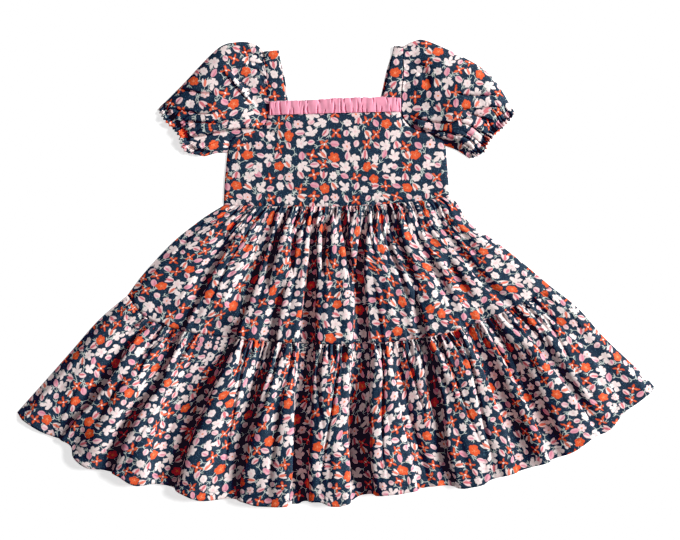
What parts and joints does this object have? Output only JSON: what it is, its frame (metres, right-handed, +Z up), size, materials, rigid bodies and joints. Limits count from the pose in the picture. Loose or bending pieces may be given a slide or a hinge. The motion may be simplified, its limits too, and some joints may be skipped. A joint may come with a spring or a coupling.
{
  "type": "puff sleeve dress",
  "caption": "Child's puff sleeve dress in floral cotton, laid flat: square neck with a pink gathered ruffle, elastic cuffs and a gathered tiered skirt.",
  "frame": {"origin": "centre of the dress's outline as it lies, on the surface that it lies on", "axes": "+Z up from the surface through the back and then the front of the dress, +Y towards the neck, +X to the right of someone who looks down at the front"},
  "size_m": [0.8016, 0.583, 0.0295],
  "materials": {
    "printed_cotton": "plain woven navy cotton with a small printed pattern of orange, cream and pink flowers",
    "pink_cotton": "plain woven pink cotton, gathered"
  },
  "bodies": {
    "root": {"bodice_front": "printed_cotton", "bodice_back": "printed_cotton", "strap_left": "printed_cotton", "strap_right": "printed_cotton", "sleeve_left": "printed_cotton", "sleeve_right": "printed_cotton", "skirt_front": "printed_cotton", "skirt_back": "printed_cotton", "tier_front": "printed_cotton", "tier_back": "printed_cotton", "neck_ruffle": "pink_cotton"}
  },
  "joints": []
}
